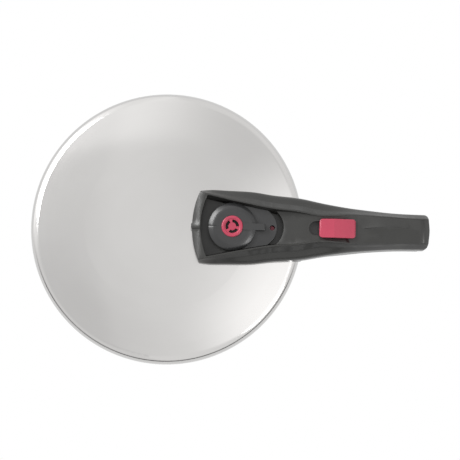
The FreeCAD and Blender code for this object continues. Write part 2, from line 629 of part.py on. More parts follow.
def channel(x0, x1, inset, floor):
    """Space between the ridges from x0 to x1, above floor(x): its walls lean and pass the crests at an inset."""
    sections = []
    for x in evenly(x0, x1, STATION_PITCH):
        top_w, ridge_z = along(HANDLE_STATIONS, x, 2) - inset, along(HANDLE_STATIONS, x, 3)
        low_z, high_z = floor(x), RIDGE_Z + 15
        low_w = top_w - WALL_LEAN * (ridge_z - low_z)
        high_w = top_w + WALL_LEAN * (high_z - ridge_z)
        sections.append((x, [(-low_w, low_z, 0), (low_w, low_z, 0),
                             (high_w, high_z, 0), (-high_w, high_z, 0)]))
    return loft(sections)


def panel_height(x):
    """Top of the panel: it climbs from the well to the button and then stays flat."""
    start = WELL_END_X + WELL_END_R
    share = min(1.0, max(0.0, (x - start) / (SLOT_X0 - start)))
    return PANEL_Z - 4.5 * (1 - share)


def grip_pocket(inset, z0, z1, x0, x1):
    """Inside of the grip: the handle's plan, inset, between two heights."""
    sections = []
    for x in evenly(x0, x1, STATION_PITCH):
        half_w = along(HANDLE_STATIONS, x, 1) - inset
        sections.append((x, [(-half_w, z0, 0), (half_w, z0, 0), (half_w, z1, 0), (-half_w, z1, 0)]))
    return loft(sections)


def well():
    """Recess in the head for the valve housing and the knob: its front follows the head's, its end is round."""
    plan = bowed(FRONT_BAND, HEAD_HALF_W, FRONT_CORNER_R, WELL_END_X)
    plan = plan.fuse(disc(WELL_END_R, FLOOR_Z, RIDGE_Z + 15, WELL_END_X))
    return channel(WELL_X, WELL_END_X + WELL_END_R + 1, RIDGE_W, lambda x: FLOOR_Z).common(plan)


def index_rib(body):
    """Rib across the front band, a copy of the band's own surface raised by a little."""
    raised = body.translated(V(-INDEX_STAND, 0, INDEX_STAND))
    return raised.common(box(HEAD_X - INDEX_STAND, WELL_X + 0.2, INDEX_HALF_W, COVER_Z + 6.0, RIDGE_Z))


def grip_dish():
    """Shallow dish on top of the grip: a crisp edge, and two slopes that meet in a line beside its middle."""
    sections = []
    start = LID_R + DISH_REACH[0]
    for x in evenly(start, LID_R + DISH_REACH[1], STATION_PITCH):
        ridge_w, ridge_z = along(HANDLE_STATIONS, x, 2) - RIDGE_BEND_R, along(HANDLE_STATIONS, x, 3)
        share = min(1.0, 0.02 + (x - start) / DISH_FADE)
        edge_z = ridge_z - DISH_STEP * share
        sections.append((x, [(-ridge_w, edge_z, 0), (DISH_LINE_Y, ridge_z - DISH_DEPTH * share, 0),
                             (ridge_w, edge_z, 0), (ridge_w, RIDGE_Z + 15, 0), (-ridge_w, RIDGE_Z + 15, 0)]))
    return loft(sections)


def grip_crescent():
    """Crescent beside the dish's line: the near slope runs on a little deeper and ends in a sharp edge."""
    sections = []
    x0, x1 = (LID_R + reach for reach in CRESCENT_REACH)
    for x in evenly(x0, x1, STATION_PITCH / 2):
        bulge = max(0.04, 1 - (2 * (x - x0) / (x1 - x0) - 1) ** 2)
        line_z = along(HANDLE_STATIONS, x, 3) - DISH_DEPTH
        edge_y = DISH_LINE_Y + CRESCENT_BULGE * bulge
        sections.append((x, [(DISH_LINE_Y - 0.3, line_z, 0), (edge_y, line_z - CRESCENT_DEPTH * bulge, 0),
                             (edge_y, line_z + 5.0, 0), (DISH_LINE_Y - 0.3, line_z + 5.0, 0)]))
    return loft(sections)


def lock_room():
    """Hollow of the lid handle: the grip's inside, the slide's pocket and the bar's way to the indicator."""
    slide_x0 = SLOT_X0 - LOCK_TRAVEL - 1.5
    rooms = [
        grip_pocket(HANDLE_WALL, COVER_Z - 0.01, ROOF_Z - 4.5, LID_R - 10.5, GRIP_X - GRIP_END_WALL),
        box(slide_x0, BRACKET_SCREW_X - 5.5, SLIDE_HALF_W + 1.0, ROOF_Z - 5.0, ROOF_Z),
        box(INDICATOR_X + BUSH_FLANGE_R + 0.5, LID_R - 8.0, TONGUE_HALF_W + 0.5, COVER_Z - 12.0,
            TONGUE_Z + TONGUE_T + 0.4),
    ]
    bar_w = PAWL_HALF_W + 0.4
    bar_x0 = INDICATOR_X - 6.5 - LOCK_TRAVEL - 2.0
    bar_room = box(bar_x0, WELL_END_X + 2, bar_w, BAR_Z - 0.5, FLOOR_Z + 1)
    return rooms + [bar_room.fuse(box(WELL_END_X, LID_R - 8.0, bar_w, BAR_Z - 0.5, BAR_Z + BAR_T + 0.5))]


def valve_seats():
    """Holes and flats that let the handle sit over the valve body and the indicator's bush."""
    return [
        disc(SPIGOT_R + FIT, 0, RIDGE_Z, VALVE_X),
        disc(VALVE_FLAT_R + FIT, 0, VALVE_SEAT_Z + FIT, VALVE_X),
        disc(INDICATOR_FLAT_R + FIT, 0, INDICATOR_SEAT_Z + FIT, INDICATOR_X),
        disc(BUSH_FLANGE_R + FIT, 0, INDICATOR_SEAT_Z + BUSH_FLANGE_T + FIT, INDICATOR_X),
        disc(INDICATOR_TIP_R + SLIDE_GAP, 0, FLOOR_Z + 1, INDICATOR_X),
    ]


def lid_handle():
    """Phenolic shell: head with the well, ridges that run out along the grip, and a pocket for the lock."""
    body = handle_outside().common(handle_trim())
    body = body.fuse(index_rib(body)).cut(lid_envelope(FIT))
    under = box(CORNER_X, GRIP_X + 5, 60, COVER_Z - 30, COVER_Z).cut(disc(LID_R + CHIN_GAP, 0, COVER_Z + 1))
    body = body.cut(under).cut(well())
    body = body.cut(disc(KNOB_R + KNOB_CLEAR, HOUSING_TOP_Z - KNOB_CLEAR, RIDGE_Z + 15, VALVE_X))
    body = body.cut(channel(WELL_END_X + 5.0, LID_R + VALLEY_REACH, RIDGE_W, panel_height))
    body = body.cut(grip_dish()).cut(grip_crescent())
    for room in lock_room():
        body = body.cut(room)
    body = body.cut(capsule(SLOT_X0, SLOT_X1, SLOT_HALF_W, ROOF_Z - 1, RIDGE_Z + 15))
    for seat in valve_seats():
        body = body.cut(seat)
    for x, foot_z in ((BRACKET_SCREW_X, TONGUE_Z + TONGUE_T), (COVER_SCREW_X, COVER_Z + COVER_T)):
        boss = disc(BOSS_R, foot_z, GRIP_TOP_Z - DISH_DEPTH - 1.0, x)
        body = body.fuse(boss).cut(disc(SCREW_R, foot_z - 1, foot_z + 10.0, x))
    return body


def handle_cover():
    """Phenolic plate that closes the grip from below, let into its mouth."""
    cover = grip_pocket(HANDLE_WALL + FIT, COVER_Z, COVER_Z + COVER_T,
                        LID_R + CHIN_GAP + SLIDE_GAP, GRIP_X - GRIP_END_WALL - FIT)
    slot = box(PAWL_X - LOCK_TRAVEL - 1.0, PAWL_X + PAWL_T + 1.0, PAWL_HALF_W + 1.0, 0, RIDGE_Z)
    sleeve = disc(7.0, COVER_Z, TONGUE_Z, BRACKET_SCREW_X)
    cover = cover.cut(slot).fuse(sleeve)
    for x in (BRACKET_SCREW_X, COVER_SCREW_X):
        cover = cover.cut(disc(SCREW_R + FIT, 0, RIDGE_Z, x))
    return cover.cut(disc(SCREW_HEAD_R + FIT, 0, COVER_Z + 1.5, BRACKET_SCREW_X)).cut(
        disc(SCREW_HEAD_R + FIT, 0, COVER_Z + 0.8, COVER_SCREW_X))


def bracket_screw():
    return screw(BRACKET_SCREW_X, COVER_Z + 1.5, TONGUE_Z + TONGUE_T + 8.0)


def cover_screw():
    return screw(COVER_SCREW_X, COVER_Z + 0.8, COVER_Z + 10.0)


# ---------------------------------------------------------------- valve
def valve_housing():
    """Phenolic hood over the valve: a round end at the knob and a round end at the indicator."""
    def outline(shrink, z0, z1):
        low, high = HOUSING_R - shrink, LOBE_R - shrink
        hull = plate([(VALVE_X, -low, 0), (LOBE_X, -high, 0), (LOBE_X, high, 0), (VALVE_X, low, 0)], z0, z1)
        return hull.fuse([disc(low, z0, z1, VALVE_X), disc(high, z0, z1, LOBE_X)]).removeSplitter()

    gap = RIDGE_W + HOUSING_GAP
    x0, x1 = WELL_X + 1, LOBE_X + LOBE_R + 2
    fence = channel(x0, x1, gap, lambda x: FLOOR_Z)
    inner_fence = channel(x0, x1, gap + HOUSING_WALL, lambda x: FLOOR_Z - 1)
    hood = outline(0.0, HOUSING_Z, HOUSING_TOP_Z).common(fence)
    hollow = outline(HOUSING_WALL, HOUSING_Z - 1, HOUSING_TOP_Z - 2.2).common(inner_fence)
    hood = hood.cut(hollow)
    return hood.cut(disc(SPIGOT_R + 3.0, 0, RIDGE_Z, VALVE_X)).cut(disc(INDICATOR_TIP_R + 0.4, 0, RIDGE_Z,
                                                                       INDICATOR_X))


SPIGOT_TOP_Z = KNOB_Z + 1.4
CLIP_Z = SPIGOT_TOP_Z - 1.8
VALVE_FLANGE_Z = FLOOR_Z + 2.4
VALVE_SEAT_INNER_Z = FLOOR_Z - 2.0


def valve_body():
    """Steel body clamped through handle and lid: a chamber with the seat, and a spigot that the knob turns on."""
    bottom = VALVE_SEAT_Z - VALVE_DROP
    body = disc(SPIGOT_R, bottom, SPIGOT_TOP_Z, VALVE_X).fuse(disc(11.0, FLOOR_Z, VALVE_FLANGE_Z, VALVE_X))
    body = body.cut(disc(VALVE_BORE_R, bottom - 1, SPIGOT_TOP_Z, VALVE_X))
    body = body.cut(disc(CHAMBER_R, VALVE_SEAT_INNER_Z, SPIGOT_TOP_Z + 1, VALVE_X))
    return body.cut(tube(SPIGOT_R + 1, SPIGOT_R - 0.6, CLIP_Z, CLIP_Z + 1.0, VALVE_X))


def valve_seal():
    """Silicone washer between the lid and the nut."""
    top = VALVE_SEAT_Z - SEAT_T
    return tube(11.0, SPIGOT_R + FIT, top - 1.5, top, VALVE_X)


def valve_nut():
    top = VALVE_SEAT_Z - SEAT_T - 1.5
    return hexagon(21.0, top - 4.5, top, VALVE_X).cut(disc(SPIGOT_R, 0, LID_TOP_Z, VALVE_X))


def vent_guard():
    """Perforated steel cap that keeps food out of the valve's bore."""
    top = VALVE_SEAT_Z - VALVE_DROP + 2.5
    low = top - 6.0
    cap = turned([(0, low, 0), (SPIGOT_R + 0.8, low, 2), (SPIGOT_R + 0.8, top, 0), (SPIGOT_R, top, 0),
                  (SPIGOT_R, low + 0.8, 1.2), (0, low + 0.8, 0)], VALVE_X)
    holes = []
    for i in range(8):
        hole = Part.makeCylinder(1.0, SPIGOT_R + 3, V(VALVE_X, 0, low + 2.6), V(1, 0, 0))
        hole.rotate(V(VALVE_X, 0, 0), UP, 45 * i)
        holes.append(hole)
    return cap.cut(Part.makeCompound(holes))


def regulator_plunger():
    """Cone on the valve's seat with a stem that guides the spring; it lifts at working pressure."""
    low = VALVE_SEAT_INNER_Z
    head_z = low + 0.4
    cone = Part.makeCone(0.8, VALVE_BORE_R - 0.1, 2.2, V(VALVE_X, 0, head_z - 2.2), UP)
    head = disc(CHAMBER_R - 0.5, head_z, head_z + 2.0, VALVE_X)
    stem = disc(1.4, head_z + 2.0, SPIGOT_TOP_Z - REGULATOR_LIFT, VALVE_X)
    return cone.fuse([head, stem]).removeSplitter()


SPRING_Z0 = VALVE_SEAT_INNER_Z + 2.4
SPRING_Z1 = SPIGOT_TOP_Z - 1.9


def regulator_spring():
    """Compression spring that sets the working pressure, ground flat at both ends."""
    wire_r = 0.4
    coil_r = 3.2
    turns = 6
    height = SPRING_Z1 - SPRING_Z0 - 2 * wire_r
    helix = Part.makeHelix(height / turns, height, coil_r)
    start = Part.Wire(Part.makeCircle(wire_r, V(coil_r, 0, 0), V(0, 1, 0)))
    coil = Part.Wire(helix.Edges).makePipeShell([start], True, True)
    return coil.translated(V(VALVE_X, 0, SPRING_Z0 + wire_r))


def regulator_screw():
    """Threaded ring in the top of the chamber: it loads the spring and lets the steam past."""
    ring = disc(CHAMBER_R - 0.02, SPRING_Z1, SPIGOT_TOP_Z - 0.4, VALVE_X).cut(disc(1.8, 0, RIDGE_Z, VALVE_X))
    vents = []
    for i in range(3):
        vent = disc(0.8, 0, RIDGE_Z, VALVE_X + 3.5)
        vent.rotate(V(VALVE_X, 0, 0), UP, 120 * i + 35)
        vents.append(vent)
    return ring.cut(Part.makeCompound(vents))


def selector_clip():
    """Circlip in the spigot's groove: it keeps the knob on."""
    ring = tube(SPIGOT_R + 1.3, SPIGOT_R - 0.6, CLIP_Z, CLIP_Z + 1.0, VALVE_X)
    return ring.cut(box(VALVE_X - 12, VALVE_X, 2.0, 0, RIDGE_Z))


def selector_knob():
    """Phenolic knob: a disc with a pointer lever, a hub that turns on the spigot, and a recess for the cap."""
    disc_part = turned([(0, KNOB_Z, 0), (KNOB_R - 0.8, KNOB_Z, 0), (KNOB_R, KNOB_Z + 0.8, 0),
                        (KNOB_R, KNOB_Z + 2.2, 0), (KNOB_R - 4.2, KNOB_TOP_Z, 9), (0, KNOB_TOP_Z, 0)], VALVE_X)
    lever = bar([(VALVE_X + CAP_R - 1, KNOB_Z + 2.0, 0), (VALVE_X + LEVER_REACH, KNOB_Z + 2.0, 0),
                 (VALVE_X + LEVER_REACH, KNOB_TOP_Z + 0.3, 1.0),
                 (VALVE_X + CAP_R - 1, KNOB_Z + 2.0 + LEVER_T + 1.4, 0)], LEVER_HALF_W)
    hub = disc(SPIGOT_R + 2.6, VALVE_FLANGE_Z + SLIDE_GAP, KNOB_Z + 1, VALVE_X)
    groove = box(VALVE_X - KNOB_R - 1, VALVE_X - KNOB_R * 0.66, 0.5, KNOB_TOP_Z - 3.0, KNOB_TOP_Z + 1)
    groove = groove.common(disc_part.translated(V(0, 0, 1.0)))
    groove = groove.cut(disc_part.translated(V(0, 0, -0.5)))
    knob = disc_part.cut(groove).fuse([lever, hub])
    knob = knob.cut(disc(SPIGOT_R + BEARING, 0, RIDGE_Z, VALVE_X))
    knob = knob.cut(disc(SPIGOT_R + 1.6, CLIP_Z - SLIDE_GAP, RIDGE_Z, VALVE_X))
    return knob.cut(disc(CAP_R + 0.05, SPIGOT_TOP_Z + SLIDE_GAP, RIDGE_Z, VALVE_X)).removeSplitter()


def steam_cap():
    """Red cap in the middle of the knob: steam leaves by three curved slots."""
    low = SPIGOT_TOP_Z + SLIDE_GAP + FIT
    top = KNOB_TOP_Z + CAP_STAND
    cap = turned([(0, low, 0), (CAP_R, low, 0), (CAP_R, top, 1.0), (CAP_R - 2.4, top, 0.6),
                  (CAP_R - 3.0, top - 0.6, 0), (0, top - 0.6, 0)], VALVE_X)
    slots = []
    for i in range(3):
        slot = sector(3.4, 6.0, 45 + 120 * i, 90, low - 1, top + 1).translated(V(VALVE_X, 0, 0))
        slots.append(slot)
    return cap.cut(Part.makeCompound(slots))


# ---------------------------------------------------------------- pressure indicator
BUSH_BOTTOM_Z = INDICATOR_SEAT_Z - SEAT_T - 5.0


def indicator_bush():
    """Aluminium bush screwed through the lid: it guides the indicator rod."""
    bush = disc(BUSH_R, BUSH_BOTTOM_Z, INDICATOR_SEAT_Z, INDICATOR_X)
    bush = bush.fuse(disc(BUSH_FLANGE_R, INDICATOR_SEAT_Z, INDICATOR_SEAT_Z + BUSH_FLANGE_T, INDICATOR_X))
    return bush.cut(disc(INDICATOR_R + 0.1, 0, RIDGE_Z, INDICATOR_X)).removeSplitter()


def indicator_washer():
    top = INDICATOR_SEAT_Z - SEAT_T
    return tube(7.0, BUSH_R + FIT, top - 1.2, top, INDICATOR_X)


def indicator_nut():
    top = INDICATOR_SEAT_Z - SEAT_T - 1.2
    return hexagon(13.0, top - 3.0, top, INDICATOR_X).cut(disc(BUSH_R, 0, LID_TOP_Z, INDICATOR_X))


def indicator_top():
    return HOUSING_TOP_Z - INDICATOR_DEPTH


def indicator_rod():
    """Steel rod with a head below the lid that the pressure pushes up."""
    head_top = BUSH_BOTTOM_Z - INDICATOR_RISE - SLIDE_GAP - 0.8
    rod = disc(INDICATOR_R, head_top - 1, indicator_top() - 3.0, INDICATOR_X)
    return rod.fuse(disc(3.4, head_top - 2.4, head_top, INDICATOR_X)).removeSplitter()


def indicator_seal():
    """Silicone ring on the head: it shuts the bush when the rod is up."""
    head_top = BUSH_BOTTOM_Z - INDICATOR_RISE - SLIDE_GAP - 0.8
    return tube(3.0, INDICATOR_R, head_top, head_top + 0.8, INDICATOR_X)


def indicator_tip():
    """Red sleeve on the rod's end, seen through the hole in the housing."""
    low = INDICATOR_SEAT_Z + BUSH_FLANGE_T + SLIDE_GAP
    tip = disc(INDICATOR_TIP_R, low, indicator_top(), INDICATOR_X)
    return tip.cut(disc(INDICATOR_R, low - 1, indicator_top() - 3.0, INDICATOR_X))


# ---------------------------------------------------------------- sliding lock
def lock_button():
    """Red thumb button on top of the panel, crowned across with a ridge a little forward of its middle."""
    low = PANEL_Z + SLIDE_GAP
    ridge_x = BUTTON_X + 13.0
    end_x = BUTTON_X + BUTTON_L
    block = bar([(BUTTON_X, low, 0), (end_x, low, 0), (end_x, low + BUTTON_H - 1.8, 1.5),
                 (ridge_x, low + BUTTON_H, 0), (BUTTON_X, low + BUTTON_H - 2.0, 1.5)], BUTTON_HALF_W)
    plan = plate([(BUTTON_X, -BUTTON_HALF_W, 3), (end_x, -BUTTON_HALF_W, 3),
                  (end_x, BUTTON_HALF_W, 3), (BUTTON_X, BUTTON_HALF_W, 3)], low, low + BUTTON_H)
    socket = box(STEM_X0 + 3, STEM_X1 - 3, 3.0 + FIT, low - 1, low + 2.0 + FIT)
    return block.common(plan).cut(socket)


def lock_slider():
    """Moulded slide under the panel: a stem up to the button, a plate under the roof, a leg to the bar."""
    top = ROOF_Z - SLIDE_GAP
    slide_plate = box(SLOT_X0 - 1.0, BRACKET_SCREW_X - 6.5, SLIDE_HALF_W, top - 2.6, top)
    stem = capsule(STEM_X0, STEM_X1, SLOT_HALF_W - SLIDE_GAP, top - 1, PANEL_Z + SLIDE_GAP)
    tenon = box(STEM_X0 + 3, STEM_X1 - 3, 3.0, PANEL_Z, PANEL_Z + SLIDE_GAP + 2.0)
    leg = box(PAWL_X - 3.0, PAWL_X + 6.0, PAWL_HALF_W, BAR_Z + BAR_T, top - 1)
    return slide_plate.fuse([stem, tenon, leg]).removeSplitter()


def lock_bar():
    """Steel bar under the slide: its pawl enters the pot handle, its slotted end runs past the indicator."""
    x0 = INDICATOR_X - 6.5
    flat = box(x0, PAWL_X + PAWL_T, PAWL_HALF_W - 0.4, BAR_Z, BAR_Z + BAR_T)
    pawl = box(PAWL_X, PAWL_X + PAWL_T, PAWL_HALF_W, POT_GRIP_Z - PAWL_DEPTH, BAR_Z + BAR_T)
    clear = INDICATOR_TIP_R + 0.4
    slot = capsule(INDICATOR_X - clear, INDICATOR_X + LOCK_TRAVEL + clear, clear, BAR_Z - 1, BAR_Z + BAR_T + 1)
    return flat.fuse(pawl).removeSplitter().cut(slot).cut(disc(RIVET_R, BAR_Z - 1, BAR_Z + BAR_T + 1, RIVET_X))


def lock_rivet():
    """Steel rivet that holds the bar to the slide's leg."""
    head = disc(2.2, BAR_Z - 0.5, BAR_Z, RIVET_X)
    return head.fuse(disc(RIVET_R, BAR_Z, BAR_Z + BAR_T, RIVET_X)).removeSplitter()


def detent_spring():
    """Leaf under the slide's plate that holds it at either end of its travel."""
    top = ROOF_Z - SLIDE_GAP - 2.6 - 0.25
    x1 = BRACKET_SCREW_X - 5.2
    return bar([(x1 - 17.0, top - 1.0, 0), (x1 - 9.0, top - 0.4, 0), (x1, top - 2.0, 0), (x1, top - 1.6, 0),
                (x1 - 9.0, top, 0), (x1 - 17.0, top - 0.6, 0)], 3.0)


PIECES = [
    pot_body, base_core, base_cap, pot_bracket, flame_guard, pot_handle, pot_handle_screw,
    lid_shell, gasket, lid_bracket, lid_handle, handle_cover, bracket_screw, cover_screw,
    valve_housing, valve_body, valve_seal, valve_nut, vent_guard, regulator_plunger, regulator_spring,
    regulator_screw, selector_clip, selector_knob, steam_cap,
    indicator_bush, indicator_washer, indicator_nut, indicator_rod, indicator_seal, indicator_tip,
    lock_button, lock_slider, lock_bar, lock_rivet, detent_spring,
]


def main():
    os.makedirs("parts", exist_ok=True)
    for piece in PIECES:
        shape = piece()
        solids = len(shape.Solids)
        if solids != 1 or not shape.isValid():
            print("look at", piece.__name__, "solids", solids, "valid", shape.isValid())
        shape.exportStep(os.path.join("parts", piece.__name__ + ".step"))
    print("rim", round(RIM_Z, 2), "lid top", round(LID_TOP_Z, 2), "panel", round(PANEL_Z, 2))


main()
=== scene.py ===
# Stovetop pressure cooker, closed, on a pale studio table. The engineering model is the frame: every piece here is
# in its coordinates, in metres, +Z up, with both handles along +X and the lid's axis through the origin.
import math

import bpy
from mathutils import Matrix, Vector


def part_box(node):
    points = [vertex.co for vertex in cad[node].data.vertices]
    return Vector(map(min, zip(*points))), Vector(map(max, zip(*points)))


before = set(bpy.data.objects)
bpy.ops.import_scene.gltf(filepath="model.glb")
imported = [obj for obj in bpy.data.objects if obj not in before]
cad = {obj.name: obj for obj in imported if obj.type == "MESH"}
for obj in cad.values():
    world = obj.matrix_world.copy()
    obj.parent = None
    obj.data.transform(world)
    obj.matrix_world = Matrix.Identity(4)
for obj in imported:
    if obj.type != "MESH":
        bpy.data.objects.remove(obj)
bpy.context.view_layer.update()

# ------------------------------------------------------------------------------------------------ the pot
# The vessel is deep-drawn from stainless sheet and belt-polished round its wall, which leaves fine lines that run
# round it. Its rim is flanged and cut back between the bayonet lugs, and steam and heat leave faint cloudy stains.


def node(tree, kind, inputs=None, **settings):
    """A node with its settings and inputs: an input is a value or another node's output."""
    made = tree.nodes.new(kind)
    for name, value in settings.items():
        setattr(made, name, value)
    for name, value in (inputs or {}).items():
        if isinstance(value, bpy.types.NodeSocket):
            tree.links.new(value, made.inputs[name])
        else:
            made.inputs[name].default_value = value
    return made


def maths(tree, operation, first, second, third=None):
    """The result of one sum."""
    inputs = {0: first, 1: second}
    if third is not None:
        inputs[2] = third
    return node(tree, "ShaderNodeMath", inputs, operation=operation).outputs[0]


def remap(tree, value, low, high, to_low, to_high):
    """A value stretched from one range to another, and held inside it."""
    return node(tree, "ShaderNodeMapRange", {"Value": value, "From Min": low, "From Max": high,
                                             "To Min": to_low, "To Max": to_high}).outputs[0]


def new_group(name, inputs, outputs):
    """A shader node group with named sockets: inputs as (name, kind, default), outputs as (name, kind)."""
    group = bpy.data.node_groups.new(name, "ShaderNodeTree")
    for label, kind, default in inputs:
        socket = group.interface.new_socket(label, in_out="INPUT", socket_type=kind)
        socket.default_value = default
    for label, kind in outputs:
        group.interface.new_socket(label, in_out="OUTPUT", socket_type=kind)
    return group, group.nodes.new("NodeGroupInput"), group.nodes.new("NodeGroupOutput")


def polish_lines_group():
    """Polished or brushed metal: lines that run round the Z axis, crossed wiping scratches, clouds and spots."""
    group, given, result = new_group("polish_lines", [
        ("Light", "NodeSocketColor", (0.6, 0.6, 0.6, 1)), ("Dark", "NodeSocketColor", (0.5, 0.5, 0.5, 1)),
        ("Roughness", "NodeSocketFloat", 0.2), ("Line Depth", "NodeSocketFloat", 0.2),
        ("Line Pitch", "NodeSocketFloat", 2500.0), ("Scratch Depth", "NodeSocketFloat", 0.1),
    ], [("Color", "NodeSocketColor"), ("Roughness", "NodeSocketFloat"), ("Normal", "NodeSocketVector")])
    place = node(group, "ShaderNodeTexCoord").outputs["Object"]
    axes = node(group, "ShaderNodeSeparateXYZ", {"Vector": place}).outputs
    flat = node(group, "ShaderNodeCombineXYZ", {"X": axes["X"], "Y": axes["Y"]}).outputs[0]
    reach = node(group, "ShaderNodeVectorMath", {0: flat}, operation="LENGTH").outputs["Value"]
    ring = node(group, "ShaderNodeCombineXYZ", {"X": reach, "Y": axes["Z"]}).outputs[0]
    lines = node(group, "ShaderNodeTexNoise", {"Vector": ring, "Scale": given.outputs["Line Pitch"],
                                               "Detail": 3.0}).outputs["Fac"]
    bands = node(group, "ShaderNodeTexNoise", {"Vector": ring, "Scale": 90.0, "Detail": 2.0}).outputs["Fac"]
    wipes = []
    for turn in (0.4, 1.3, 2.3):
        turned = node(group, "ShaderNodeMapping", {"Vector": place, "Rotation": (0, 0, turn),
                                                   "Scale": (45.0, 2400.0, 45.0)}).outputs[0]
        wipes.append(node(group, "ShaderNodeTexNoise", {"Vector": turned, "Scale": 1.0,
                                                        "Detail": 2.0}).outputs["Fac"])
    wipe = maths(group, "MAXIMUM", maths(group, "MAXIMUM", wipes[0], wipes[1]), wipes[2])
    scratch = remap(group, wipe, 0.70, 0.80, 0.0, 1.0)
    cloud = node(group, "ShaderNodeTexNoise", {"Vector": place, "Scale": 16.0, "Detail": 5.0,
                                               "Roughness": 0.6}).outputs["Fac"]
    spots = node(group, "ShaderNodeTexVoronoi", {"Vector": place, "Scale": 120.0}).outputs["Distance"]
    spot = remap(group, spots, 0.05, 0.11, 1.0, 0.0)
    shade = remap(group, maths(group, "MULTIPLY_ADD", bands, 0.35, cloud), 0.45, 0.9, 0.0, 1.0)
    tint = node(group, "ShaderNodeMix", {"Factor": shade, "A": given.outputs["Dark"],
                                         "B": given.outputs["Light"]}, data_type="RGBA").outputs["Result"]
    rough = maths(group, "MULTIPLY_ADD", maths(group, "SUBTRACT", cloud, 0.5), 0.10, given.outputs["Roughness"])
    rough = maths(group, "MULTIPLY_ADD", scratch, 0.07, rough)
    rough = maths(group, "MULTIPLY_ADD", spot, 0.05, rough)
    rough = maths(group, "MULTIPLY_ADD", maths(group, "SUBTRACT", lines, 0.5), 0.06, rough)
    first = node(group, "ShaderNodeBump", {"Height": lines, "Strength": given.outputs["Line Depth"],
                                           "Distance": 0.00002})
    second = node(group, "ShaderNodeBump", {"Height": maths(group, "MULTIPLY", scratch, -1.0),
                                            "Strength": given.outputs["Scratch Depth"], "Distance": 0.00002,
                                            "Normal": first.outputs["Normal"]})
    group.links.new(tint, result.inputs["Color"])
    group.links.new(rough, result.inputs["Roughness"])
    group.links.new(second.outputs["Normal"], result.inputs["Normal"])
    return group


POLISH_LINES = polish_lines_group()


def metal(name, light, dark, roughness, line_depth, line_pitch, scratch_depth, anisotropy=0.0):
    """A polished, brushed or turned metal."""
    material = bpy.data.materials.new(name)
    material.use_nodes = True
    tree = material.node_tree
    shader = tree.nodes["Principled BSDF"]
    lines = node(tree, "ShaderNodeGroup", node_tree=POLISH_LINES)
    values = {"Light": light, "Dark": dark, "Roughness": roughness, "Line Depth": line_depth,
              "Line Pitch": line_pitch, "Scratch Depth": scratch_depth}
    for label, value in values.items():
        lines.inputs[label].default_value = value
    tree.links.new(lines.outputs["Color"], shader.inputs["Base Color"])
    tree.links.new(lines.outputs["Roughness"], shader.inputs["Roughness"])
    tree.links.new(lines.outputs["Normal"], shader.inputs["Normal"])
    shader.inputs["Metallic"].default_value = 1.0
    shader.inputs["Anisotropic"].default_value = anisotropy
    return material


def dress(material, *names, edge=0.0, angle=30.0):
    """Gives CAD nodes a material and, if edge isn't zero, rounds their sharp edges by that many metres."""
    for name in names:
        piece = cad[name]
        piece.data.materials.clear()
        piece.data.materials.append(material)
        if edge > 0:
            weld = piece.modifiers.new("weld", "WELD")
            weld.merge_threshold = 0.00001
            bevel = piece.modifiers.new("rounded_edges", "BEVEL")
            bevel.width = edge
            bevel.segments = 2
            bevel.limit_method = "ANGLE"
            bevel.angle_limit = math.radians(angle)
            bevel.use_clamp_overlap = True
            bevel.harden_normals = False


POT_STEEL = metal("pot_steel", (0.62, 0.61, 0.60, 1), (0.55, 0.54, 0.525, 1), 0.20, 0.22, 1800.0, 0.15)
dress(POT_STEEL, "pot_body")

# ------------------------------------------------------------------------------------------------ the base
# A thick aluminium plate spreads the heat. It is capped by a steel cup, pressed on hot, whose underside is turned
# in fine rings and scuffed by the hob.
BASE_STEEL = metal("base_steel", (0.58, 0.57, 0.56, 1), (0.44, 0.43, 0.41, 1), 0.30, 0.6, 1300.0, 0.5)
ALUMINIUM = metal("rolled_aluminium", (0.74, 0.74, 0.75, 1), (0.66, 0.66, 0.67, 1), 0.38, 0.5, 900.0, 0.3)
dress(BASE_STEEL, "base_cap")
dress(ALUMINIUM, "base_core", "indicator_bush")

# ------------------------------------------------------------------------------------------------ the brackets
# Steel feet and tongues, stamped and welded to the pot and to the lid, carry both handles. A thin steel sleeve
# keeps the flame off the pot handle's root, and bright screws with slots hold the mouldings.
STAMPED_STEEL = metal("stamped_steel", (0.58, 0.57, 0.56, 1), (0.46, 0.45, 0.44, 1), 0.32, 0.4, 700.0, 0.6)
SCREW_STEEL = metal("screw_steel", (0.60, 0.60, 0.60, 1), (0.50, 0.50, 0.50, 1), 0.24, 0.5, 2600.0, 0.4)
dress(STAMPED_STEEL, "pot_bracket", "lid_bracket", "flame_guard")
dress(SCREW_STEEL, "pot_handle_screw", "bracket_screw", "cover_screw", edge=0.0002)


